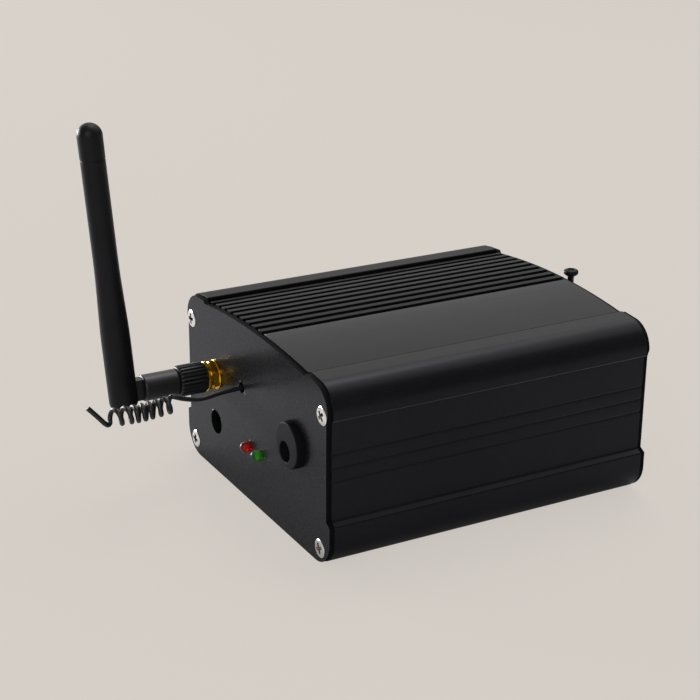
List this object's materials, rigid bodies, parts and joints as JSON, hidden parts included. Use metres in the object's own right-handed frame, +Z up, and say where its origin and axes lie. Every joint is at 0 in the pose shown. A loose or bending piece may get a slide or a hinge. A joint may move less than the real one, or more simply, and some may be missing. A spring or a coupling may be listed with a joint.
{
  "type": "fibre optic light engine",
  "caption": "Black finned aluminium light engine for a fibre-optic lamp, with a folding antenna, a coiled wire aerial, indicator lamps, a lead bushing and a clamped fibre port.",
  "frame": {"origin": "middle of the flat underside of the case, on the surface it stands on", "axes": "+X along the extrusions towards the fibre port, +Z up; the antenna end is at -X and the antenna stands at +Y"},
  "size_m": [0.1637, 0.095, 0.1138],
  "materials": {
    "case_black": "fine satin black anodised extrusion",
    "plate_black": "satin black anodised sheet",
    "screw_nickel": "bright nickel with a dark cross recess",
    "bushing_black": "moulded satin black nylon",
    "lens_red": "diffused red epoxy",
    "lens_green": "diffused green epoxy",
    "gilt": "polished gilt brass",
    "antenna_black": "soft matt black elastomer",
    "knurl_black": "knurled black satin",
    "wire_black": "black insulated wire",
    "clamp_black": "black oxide steel",
    "ptfe_white": "white fluoropolymer",
    "bare_aluminium": "mill finish",
    "lens_glass": "clear optical glass",
    "steel": "zinc plated",
    "led_white": "white solder resist on aluminium",
    "phosphor": "silicone over phosphor",
    "board_green": "green solder resist on glass epoxy",
    "chip_black": "black moulding compound",
    "can_sleeve": "shrink sleeve",
    "connector_white": "natural nylon",
    "terminal_green": "green polyamide",
    "coax_brown": "brown fluoropolymer jacket"
  },
  "bodies": {
    "case": {"top_cover": "case_black", "base_tray": "case_black", "antenna_end_plate": "plate_black", "fibre_end_plate": "plate_black", "antenna_end_screws": "screw_nickel", "fibre_end_screws": "screw_nickel", "lead_bushing": "bushing_black", "red_led": "lens_red", "green_led": "lens_green", "sma_jack": "gilt", "sma_insulator": "ptfe_white", "sma_contact": "gilt", "sma_washer": "gilt", "sma_nut": "gilt", "aerial_root": "wire_black", "aerial_lead": "wire_black", "aerial_coil": "wire_black", "aerial_tail": "wire_black", "fibre_port": "clamp_black", "port_ring_nut": "clamp_black", "heat_bracket": "bare_aluminium", "bracket_screws": "screw_nickel", "led_board": "led_white", "led_board_screws": "steel", "led_emitter": "phosphor", "lens_barrel": "bare_aluminium", "condenser_lens": "lens_glass", "lens_spacer": "bare_aluminium", "control_board": "board_green", "bulk_capacitors": "can_sleeve", "power_inductor": "chip_black", "terminal_block": "terminal_green", "mosfets": "chip_black", "microcontroller": "chip_black", "led_connector": "connector_white", "led_lead": "wire_black", "radio_module": "board_green", "radio_shield": "steel", "coax_pigtail": "coax_brown", "remote_receiver": "board_green"},
    "coupling": {"coupling_nut": "gilt", "coupling_sleeve": "knurl_black"},
    "antenna_arm": {"plug_body": "gilt", "plug_insulator": "ptfe_white", "plug_pin": "gilt", "antenna_barrel": "antenna_black"},
    "blade": {"antenna_blade": "antenna_black", "antenna_radiator": "gilt", "hinge_pin": "steel"},
    "clamp": {"clamp_screw": "clamp_black"}
  },
  "joints": [
    {"name": "coupling_turn", "type": "hinge", "parent": "case", "child": "coupling", "pos_m": [-0.0609, 0.0258, 0.0324], "axis": [1, 0, 0], "continuous": true},
    {"name": "antenna_swivel", "type": "hinge", "parent": "case", "child": "antenna_arm", "pos_m": [-0.0659, 0.0258, 0.0324], "axis": [1, 0, 0], "range_deg": [-90, 50]},
    {"name": "antenna_fold", "type": "hinge", "parent": "antenna_arm", "child": "blade", "pos_m": [-0.0834, 0.0258, 0.0324], "axis": [0, 1, 0], "range_deg": [-85.4, 4.6]},
    {"name": "clamp_feed", "type": "slide", "parent": "case", "child": "clamp", "axis": [0, 0, 1], "range_m": [-0.006, 0.002]}
  ]
}
